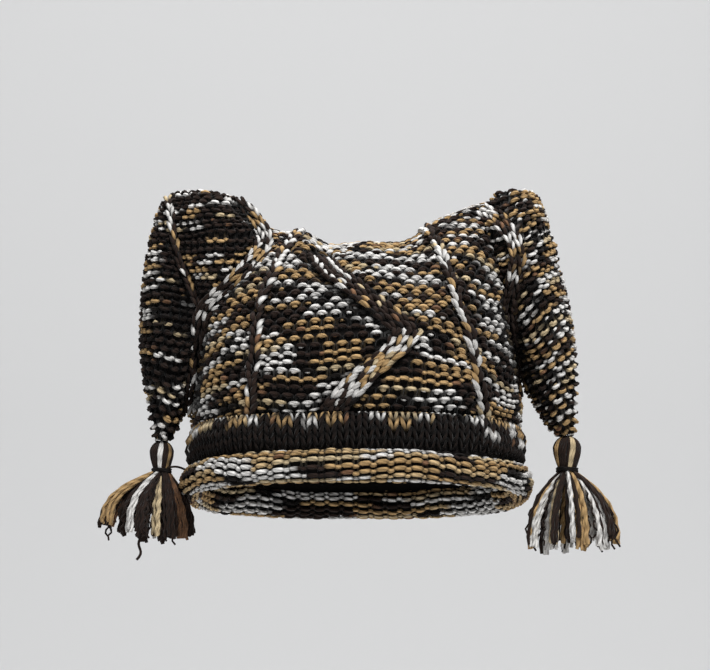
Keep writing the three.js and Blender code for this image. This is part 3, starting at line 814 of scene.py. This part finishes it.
def add_legs(yarns, strip, row, columns, width, rise, radius, shade_of, dice):
    """One round of a raised strip: two lens-shaped legs a stitch that stand in a V.

    With t from 0 at a leg's foot to 1 at its head, it leans out by width (0.06 + 0.34 t)
    and stands rise sin(pi t) above the cloth, where it is thickest; its colour carries painted
    shade, darkest at both ends where it dives in and lightest at the top.
    """
    t = np.linspace(0, 1, LEG_PARTS)
    bulge = np.sin(TAU / 2 * t)
    for column in range(columns):
        for lean in (-1, 1):
            middle = (column + 0.5 - columns / 2) * width + dice.normal(0, 0.4)
            across = middle + lean * width * dice.uniform(0.75, 1.2) * (0.06 + 0.34 * t)
            up = row + (t - 0.5) * rise * dice.uniform(0.85, 1.15) + dice.normal(0, 0.14)
            points, normals, _ = with_normals(strip, across, up)
            path = points + normals * (LEG_RISE * bulge - LEG_SINK + dice.normal(0, 0.35))[:, None]
            shade = np.array(shade_of(row, column, lean)) * dice.uniform(0.85, 1.08)
            # Painted shade: each leg darkens towards its foot and head, where it dives into the cloth.
            colour = shade * (0.15 + 0.85 * bulge)[:, None]
            thick = radius * dice.uniform(0.85, 1.1) * (0.45 + 0.55 * bulge)
            yarns.add(path, normals, thick, colour, False)


def crown_strip(line, lift):
    """A strip on the crown's face side that follows a line of (rise share, across)."""
    shares, places = np.array(line).T
    place = np.linspace(0, len(CROWN_ROWS) - 1, 300)
    share = blend_rows(CROWN_ROWS, place)[:, 0]
    middle = np.interp(share, shares, places)
    angle = crown_angle_at(middle, place, FABRIC_INSET)
    points = crown_surface(angle, place, FABRIC_INSET)
    use = (share >= shares[0]) & (share <= shares[-1])
    length = np.concatenate([[0], np.cumsum(np.linalg.norm(np.diff(points[use], axis=0), axis=1))])
    used_place, used_middle = place[use], middle[use]

    def strip(across, up):
        at = np.interp(up * STRIP_GAUGE, length, used_place)
        centre = np.interp(up * STRIP_GAUGE, length, used_middle)
        turn = crown_angle_at(centre + across, at, FABRIC_INSET)
        point = crown_surface(turn, at, FABRIC_INSET)
        return point + np.array([0.0, -lift, 0.0])

    return strip, int(length[-1] / STRIP_GAUGE)


def ground_tree():
    """The crown's and ears' middle surfaces, to lay the ear lines on."""
    points, faces = [], []
    cloths = [(crown_cloth, len(CROWN_ROWS))]
    cloths += [(lambda a, p, side=side: ear_surface(side, a, p, FABRIC_INSET), len(EAR_ROWS[side]))
               for side in EAR_ROWS]
    for cloth, rows in cloths:
        around, along = 96, 60
        angle, place = np.meshgrid(np.linspace(0, TAU, around, endpoint=False),
                                   np.linspace(0, rows - 1, along), indexing="ij")
        base = len(points)
        points += cloth(angle, place).reshape(-1, 3).tolist()
        i, j = np.meshgrid(np.arange(around), np.arange(along - 1), indexing="ij")
        beside = (i + 1) % around
        quads = np.stack([i * along + j, beside * along + j, beside * along + j + 1, i * along + j + 1], -1)
        faces += (quads.reshape(-1, 4) + base).tolist()
    return BVHTree.FromPolygons(points, faces)


def laid_strip(line, tree, lift):
    """A strip laid on the face side along a line of (across, up) from the top down."""
    line = np.array(line, dtype=float)[::-1]
    fine = blend_rows(line, np.linspace(0, len(line) - 1, 80))
    hits = [tree.ray_cast(Vector((x, -400.0, z)), Vector((0.0, 1.0, 0.0)))[0] for x, z in fine]
    depth = np.array([hit.y if hit else np.nan for hit in hits])
    known = ~np.isnan(depth)
    depth = np.interp(np.arange(80), np.flatnonzero(known), depth[known])
    smooth = np.convolve(np.pad(depth, 6, mode="edge"), np.ones(13) / 13, mode="valid")
    path = np.stack([fine[:, 0], np.minimum(smooth, depth + 1.0) - lift, fine[:, 1]], axis=-1)
    length = np.concatenate([[0], np.cumsum(np.linalg.norm(np.diff(path, axis=0), axis=1))])
    ahead = np.gradient(path, axis=0)
    ahead /= np.linalg.norm(ahead, axis=1, keepdims=True)
    side = np.cross(ahead, np.array([0.0, -1.0, 0.0]))
    side /= np.linalg.norm(side, axis=1, keepdims=True)

    def strip(across, up):
        at = up * STRIP_GAUGE
        centre = np.stack([np.interp(at, length, path[:, k]) for k in range(3)], axis=-1)
        sideways = np.stack([np.interp(at, length, side[:, k]) for k in range(3)], axis=-1)
        return centre + sideways * np.asarray(across)[..., None]

    return strip, int(length[-1] / STRIP_GAUGE)


def column_shade(seed, dark_left, dark_right, dark_below=0):
    """Picks a leg's yarn: runs of the dyed yarn, and a share of dark legs on each side.

    Below the round `dark_below` four legs in five are dark.
    """
    dice = np.random.default_rng(seed)
    stretch = dyed(np.arange(240) * 0.9, seed)
    light = np.where(stretch[:, :1] < 0.1, np.array(WHITE), stretch)
    flips = dice.random(240)

    def shade_of(row, column, lean):
        at = int(row * 2 + column + (lean > 0)) % 240
        dark = dark_left if lean < 0 else dark_right
        return np.array(DARK) if flips[at] < (0.8 if row < dark_below else dark) else light[at]

    return shade_of


def cable_shade(row, column, lean):
    chosen = CABLE_SHADES[min(int(row / CABLE_STEP + 0.5), len(CABLE_SHADES) - 1)]
    return chosen[(column * 2 + (lean > 0)) % len(chosen)]


# Shades of the cable's rounds from the band up, leg by leg from the left.
CABLE_SHADES = [
    (DARK, DEEP, DARK, DARK, DEEP, DARK), (DARK, DARK, WHITE, DARK, DARK, DEEP),
    (WHITE, WHITE, DARK, WHITE, WHITE, WHITE), (WHITE, DARK, WHITE, WHITE, TAN, WHITE),
    (TAN, WHITE, DARK, TAN, PALE_TAN, DARK), (WHITE, WHITE, TAN, WHITE, TAN, TAN),
    (TAN, DARK, PALE_TAN, TAN, TAN, PALE_TAN), (DARK, TAN, TAN, PALE_TAN, DARK, TAN),
    (WHITE, DARK, WHITE, WHITE, WHITE, DARK), (DARK, WHITE, TAN, WHITE, PALE_TAN, WHITE),
    (DARK, DARK, WHITE, DARK, DARK, PALE_TAN), (DARK, DARK, DEEP, DARK, DARK, DARK),
    (DARK, DEEP, DARK, RUST, DARK, DARK), (DEEP, DARK, DARK, DARK, DARK, TAN),
    (TAN, DARK, DARK, PALE_TAN, DARK, DARK), (DARK, DARK, TAN, DARK, DARK, PALE_TAN),
    (DARK, RUST, DARK, DARK, DARK, DEEP), (WHITE, DARK, DARK, DARK, PALE_TAN, DARK),
    (DARK, PALE_TAN, WHITE, DARK, DARK, DARK), (DARK, WHITE, DARK, DARK, WHITE, DARK),
]


def column_strips():
    """Every raised strip: where it runs, its rounds, columns, width, leg rise, radius and yarn."""
    tree = ground_tree()
    strips = []
    for name, line in PANEL_LINES.items():
        shade_of = column_shade(900, 0.7, 0.5) if name == "left" else column_shade(901, 0.12, 0.85)
        strips.append((*crown_strip(line, 0.9), 1.0, 1, 6.4, 1.75, 1.45, shade_of))
    for number, (name, line) in enumerate(EAR_LINES.items()):
        columns, dark, dark_below = (1, 0.3, 10) if name == "left_fold" else (2, 0.4, 15)
        shade_of = column_shade(930 + number, dark, dark, dark_below)
        strips.append((*laid_strip(line, tree, 0.6), 1.0, columns, 4.8, 1.75, 1.1, shade_of))
    strips.append((*crown_strip(CABLE_LINE, 1.2), CABLE_STEP, 3, 5.3, 1.75, 1.4, cable_shade))
    return strips


def make_columns():
    """The panel lines, the cable and the lines where the ears are joined on."""
    yarns = Yarns()
    dice = np.random.default_rng(5)
    for strip, rows, step, columns, width, rise, radius, shade_of in raised_strips:
        for row in np.arange(0, rows + 0.5, step):
            add_legs(yarns, strip, row, columns, width, rise, radius, shade_of, dice)
    yarns.write("raised_columns", knit_finish, "marled_knit")


def pressed(points):
    """How much the rounds are pressed in beneath the raised strips, from 0 to 1."""
    share = np.zeros(len(points))
    for centres, half in strip_middles:
        gap = points[:, None, ::2] - centres[None]
        apart = np.sqrt(np.min(np.einsum("ijk,ijk->ij", gap, gap), axis=1))
        share = np.maximum(share, np.clip((half + 0.8 - apart) / 2.0, 0, 1) * (points[:, 1] < 0))
    return share


# Band and brim

BAND_PROFILE = np.array([
    # across, up, how the inset moves it across and up
    (-0.5, -0.05, 0.9, 0.0),
    (1.0, 0.30, 1.0, 0.0),
    (1.2, 0.60, 1.0, 0.0),
    (-0.5, 1.05, 0.9, 0.0),
])


# Shares of dark and of lightened runs in the band, from its top round down.
BAND_DARK = (0.0, 0.2, 0.65)
BAND_LIGHT = (0.6, 0.4, 0.0)
BAND_DARK_BELOW = 0.93
BAND_SEED = 23
BAND_STITCHES = 94
# A band yarn darker than this red is dimmed by the share after it.
BAND_DIM = (0.05, 0.6)


def make_band():
    """Plain rounds with the knit side out, between the roll and the crown."""
    def cloth(angle, place):
        return hoop_surface(BAND_HALF, band_low[2], BAND_HEIGHT, BAND_PROFILE, angle, place, FABRIC_INSET)
    courses, place_of = run_places(cloth, len(BAND_PROFILE), FRONT_MIDDLE, COURSE)
    yarns = Yarns()
    # Painted shade: a near-black sheet under the band's loops, and its hem.
    yarns.add_painted_shade_sheet(cloth, len(BAND_PROFILE), along=8)
    yarns.add_painted_shade_sheet(hem_of(cloth), 2, along=3)
    for course in range(courses + 1):
        path, lift, radius, along, shade = knit_course(
            cloth, place_of, course, TAU / 4, -1, 500 + course, yarn=1.0, whole=BAND_STITCHES)
        below = courses - course
        dark_share = BAND_DARK[below] if below < len(BAND_DARK) else BAND_DARK_BELOW
        light_share = BAND_LIGHT[below] if below < len(BAND_LIGHT) else 0.0
        colour = dyed(along + ROUND_STEP * course, BAND_SEED, dark_share, 0.45, light_share)
        colour = np.where(colour[:, :1] < BAND_DIM[0], colour * BAND_DIM[1], colour)
        # Painted shade: the loops darken where they dive into the cloth.
        yarns.add(path, lift, radius, colour * shade, True)
    yarns.write("band_knit", knit_finish, "marled_knit", "band")


# The roll: rounds round its section, stitches in a round, yarn, seed, stretch and light share.
ROLL_ROWS = 13.0
BRIM_STITCHES = 70
BRIM_YARN = 1.38
BRIM_SEED = 33
BRIM_STRETCH = 1.3
BRIM_LIGHT = 0.5


def roll_surface(angle, around):
    """An oval rolled edge: place runs once round its section, from under the band."""
    turn = TAU * (0.30 - around / ROLL_ROWS)
    half = np.array([ROLL_THICKNESS / 2 - FABRIC_INSET * 0.8, BRIM_HEIGHT / 2 - FABRIC_INSET * 0.8])
    across = half[0] * np.cos(turn) - ROLL_THICKNESS / 2
    wave = 0.7 * np.sin(3 * angle + 0.7) + 0.4 * np.sin(5 * angle + 2.0)
    return np.stack([
        (BRIM_HALF[0] + across) * soft(np.cos(angle)),
        (BRIM_HALF[1] + across) * soft(np.sin(angle)),
        brim_low[2] + BRIM_HEIGHT / 2 + half[1] * np.sin(turn) + wave * (0.5 + 0.5 * np.sin(turn)),
    ], axis=-1)


def make_brim():
    """Rounds of purl loops that follow the roll once round its section."""
    def upwards(angle, around):
        return roll_surface(angle, ROLL_ROWS - around)
    yarns = Yarns()
    # Painted shade: a near-black sheet under the roll's loops.
    yarns.add_painted_shade_sheet(upwards, ROLL_ROWS + 1, along=18)
    for course in range(int(ROLL_ROWS)):
        path, lift, radius, along, shade = knit_course(
            upwards, lambda v: np.asarray(v, dtype=float), course, TAU / 4, 1, 700 + course,
            yarn=BRIM_YARN, whole=BRIM_STITCHES)
        # Painted shade: the loops darken where they dive into the cloth.
        colour = round_colour(course, along, BRIM_SEED, 0.0, BRIM_STRETCH, BRIM_LIGHT) * shade
        yarns.add(path, lift, radius, colour, True, narrow=0.95)
    yarns.write("brim_roll_knit", knit_finish, "marled_knit", "brim_roll")


# Tassels

# Outline of the tied head: share of its height, share of its greatest radius.
HEAD_OUTLINE = np.array([(0.0, 0.50), (0.22, 0.74), (0.5, 0.95), (0.72, 1.0), (0.9, 0.74), (1.0, 0.25)])
HEAD_RADIUS = {"left": 6.5, "right": 7.7}
LOCKS = 19
STRANDS_IN_LOCK = 9
LOCK_SHADES = {
    "left": (DARK, DARK, TAN, DARK, WHITE, DARK, PALE_TAN, DARK, RUST),
    "right": (WHITE, TAN, WHITE, PALE_TAN, DARK, WHITE, TAN, WHITE, DARK),
}
HEAD_SHADES = {
    "left": (DARK, DARK, DARK, WHITE, DARK, TAN),
    "right": (DARK, TAN, DARK, DARK, PALE_TAN, DARK),
}
SKIRT_ARCH = 2.4
TAIL_PARTS = 20
HEAD_STRANDS = 26
STRAY_YARNS = 18
# A direction that no cut yarn runs along, which steadies its tube.
CUT_LIFT = np.array([0.3, 1.0, 0.2])


def head_strands(yarns, centre, bottom, top, side, dice):
    """Yarn laid over the tied head from its neck to its top."""
    for k in range(HEAD_STRANDS):
        climb = np.linspace(0, 1, 14)
        turn = TAU * k / 26 + dice.uniform(-0.05, 0.05) + 0.3 * climb
        out = (HEAD_RADIUS[side] - 1.1) * np.interp(climb, HEAD_OUTLINE[:, 0], HEAD_OUTLINE[:, 1])
        path = np.stack([centre[0] + out * np.cos(turn), centre[1] + out * np.sin(turn),
                         bottom + climb * (top - bottom)], axis=-1)
        away = path - np.array([centre[0], centre[1], (bottom + top) / 2])
        shade = np.array(HEAD_SHADES[side][(k // 2) % 6]) * dice.uniform(0.75, 1.05)
        yarns.add(path, away + 1e-3, dice.uniform(0.95, 1.2), shade, False)


def crimp(down, size, turns, dice):
    """A sideways wave that grows along a cut yarn, as unpicked yarn keeps its kinks."""
    phase = dice.uniform(0, TAU, 2)
    wave = np.stack([
        np.sin(TAU * turns * down + phase[0]),
        np.sin(TAU * turns * 0.8 * down + phase[1]),
    ], -1)
    return size * np.sqrt(down)[:, None] * wave


def skirt_strand(start, end, bottom, arch, size, turns, dice):
    """Points of one cut yarn that arches out from the neck and falls to its end.

    At a share d of its fall it has gone 1 - (1 - d)^arch of its way out.
    """
    down = np.linspace(0, 1, TAIL_PARTS)
    away = 1 - (1 - down) ** arch
    flat = start[:2] + (end - start[:2]) * away[:, None] + crimp(down, size, turns, dice)
    return np.concatenate([flat, (start[2] + (bottom - start[2]) * down)[:, None]], axis=1)


def make_tassel(side):
    """A tied head, a skirt of cut yarn in locks, thin stray yarns and the binding."""
    low, high = node_box("tassel_" + side)
    tie_low, tie_high = node_box("tassel_tie_" + side)
    neck = (tie_low + tie_high) / 2
    dice = np.random.default_rng(61 if side == "left" else 62)
    yarns = Yarns()
    head_strands(yarns, neck, tie_high[2] - 1.0, high[2] + 0.4, side, dice)

    middle = np.array([(low[0] + high[0]) / 2, neck[1]])
    spread = np.array([(high[0] - low[0]) / 2 - 2.0, (high[1] - low[1]) / 2 - 2.0])
    for lock in range(LOCKS):
        turn = TAU * (lock + dice.uniform(-0.25, 0.25)) / LOCKS
        reach = 1.0 if lock % 3 else dice.uniform(0.3, 0.8)
        aim = np.array([np.cos(turn), np.sin(turn)])
        fall = dice.uniform(0.84, 0.99) - 0.2 * max(0.0, -aim[0]) * (side == "left")
        arch = SKIRT_ARCH * dice.uniform(0.85, 1.15)
        lock_shade = np.array(LOCK_SHADES[side][lock % 9])
        for _ in range(STRANDS_IN_LOCK):
            beside = dice.normal(0, 1, 2)
            start = np.append(neck[:2] + 2.4 * aim * reach + 0.5 * beside, neck[2] - 0.5)
            end = middle + spread * reach * aim + 1.35 * beside
            bottom = neck[2] + (low[2] - neck[2]) * fall * dice.uniform(0.94, 1.03)
            path = skirt_strand(start, end, bottom, arch, 0.4, dice.uniform(3.0, 5.0), dice)
            shade = lock_shade if dice.random() < 0.85 else np.array(DARK)
            thick = dice.uniform(0.8, 1.15)
            yarns.add(path, CUT_LIFT, thick, shade * dice.uniform(0.8, 1.1), False)
    for _ in range(STRAY_YARNS):
        turn = dice.uniform(0, TAU)
        aim = np.array([np.cos(turn), np.sin(turn)])
        start = np.append(neck[:2] + 3.0 * aim, neck[2])
        end = middle + (spread + 1.5) * aim * dice.uniform(0.5, 1.0)
        bottom = neck[2] + (low[2] - neck[2]) * dice.uniform(0.8, 1.0)
        path = skirt_strand(start, end, bottom, SKIRT_ARCH, 1.3, dice.uniform(4, 6), dice)
        yarns.add(path, CUT_LIFT, 0.55, np.array(DARK) * 0.8, False)
    if side == "left":
        start = np.array([neck[0] - 7.0, neck[1] - 6.0, low[2] + 18.0])
        path = skirt_strand(start, start[:2] + np.array([-5.0, -2.0]), low[2] - 9.0, 1.0, 1.3, 2.2, dice)
        yarns.add(path, CUT_LIFT, 0.75, np.array(DARK), False)
        share = np.linspace(0, 1, TAIL_PARTS)
        path = np.stack([neck[0] + 3.0 + share * 10.0, np.full(TAIL_PARTS, neck[1] - 3.5),
                         neck[2] + 1.0 + 1.2 * np.sin(share * TAU / 2) - share], axis=-1)
        yarns.add(path, np.array([0.0, -1.0, 0.3]), 0.6, np.array(DARK), False)
    yarns.write("tassel_yarn_" + side, tassel_finish, "tassel_yarn", "tassel_" + side)

    tie = Yarns()
    for k in (-0.5, 0.5):
        t = TAU * np.arange(28) / 28
        out = (tie_high[0] - tie_low[0]) / 2 - 0.9
        path = np.stack([
            neck[0] + out * np.cos(t), neck[1] + out * np.sin(t), neck[2] + k + 0.25 * np.sin(2 * t + k),
        ], axis=-1)
        tie.add(path, np.array([0.0, 0.0, 1.0]), 0.65, np.array(DEEP), True)
    tie.write("tassel_binding_" + side, tassel_finish, "dark_yarn", "tassel_tie_" + side)


raised_strips = column_strips()
strip_middles = []
for strip, rows, _, columns, width, *_ in raised_strips:
    up = np.linspace(0, rows, 60)
    strip_middles.append((strip(np.zeros(60), up)[:, ::2], columns * width / 2))
make_crown()
for side in EAR_ROWS:
    make_ear(side)
make_columns()
make_band()
make_brim()
for side in EAR_ROWS:
    make_tassel(side)

# Studio


def studio_material():
    material = bpy.data.materials.new("pale_studio_paper")
    material.use_nodes = True
    shader = material.node_tree.nodes["Principled BSDF"]
    shader.inputs["Base Color"].default_value = (0.70, 0.70, 0.70, 1)
    shader.inputs["Roughness"].default_value = 0.9
    return material


def make_studio():
    """A floor that curves up into a wall behind the hat, well below it."""
    floor, back, wall, wide = -0.62, 1.6, 3.2, 4.5
    turn = np.linspace(0, TAU / 4, 16)
    curve = 1.0
    y = np.concatenate([[-4.0], back + curve * np.sin(turn), [back + curve]])
    z = np.concatenate([[floor], floor + curve * (1 - np.cos(turn)), [wall]])
    points = np.array([(x, b, c) for x in (-wide, wide) for b, c in zip(y, z)])
    count = len(y)
    quads = [(k, count + k, count + k + 1, k + 1) for k in range(count - 1)]
    mesh = bpy.data.meshes.new("studio_paper")
    mesh.from_pydata(points.tolist(), [], quads)
    mesh.shade_smooth()
    mesh.materials.append(studio_material())
    paper = bpy.data.objects.new("studio_paper", mesh)
    bpy.context.scene.collection.objects.link(paper)


def add_area_light(name, place, target, size, power):
    data = bpy.data.lights.new(name, "AREA")
    data.size = size
    data.energy = power
    lamp = bpy.data.objects.new(name, data)
    lamp.location = place
    lamp.rotation_euler = (Vector(target) - Vector(place)).to_track_quat("-Z", "Y").to_euler()
    bpy.context.scene.collection.objects.link(lamp)


def make_camera():
    """The photograph's view: from the face side, a little below, 2 m away."""
    distance, elevation = 2.0, math.radians(-8.6)
    target = Vector((-0.0005, 0.0, 0.0913))
    data = bpy.data.cameras.new("camera")
    data.sensor_width = 36.0
    data.lens = 189.6
    data.clip_end = 20.0
    camera = bpy.data.objects.new("camera", data)
    camera.location = target - distance * Vector((0, math.cos(elevation), -math.sin(elevation)))
    camera.rotation_euler = (target - camera.location).to_track_quat("-Z", "Y").to_euler()
    bpy.context.scene.collection.objects.link(camera)
    bpy.context.scene.camera = camera


make_studio()
make_camera()
middle = (0.0, 0.0, 0.09)
add_area_light("key", (0.55, -1.4, 1.6), middle, 0.7, 42)
add_area_light("fill", (-1.2, -1.8, 0.5), middle, 1.2, 6)
add_area_light("top", (0.2, 0.4, 1.9), middle, 1.0, 16)
add_area_light("backdrop", (0.0, 0.9, 2.2), (0.0, 2.4, 0.3), 2.4, 33)

world = bpy.data.worlds.new("studio_air")
world.use_nodes = True
world.node_tree.nodes["Background"].inputs[0].default_value = (0.9, 0.92, 0.95, 1)
world.node_tree.nodes["Background"].inputs[1].default_value = 0.24
bpy.context.scene.world = world
bpy.context.scene.view_settings.view_transform = "Standard"
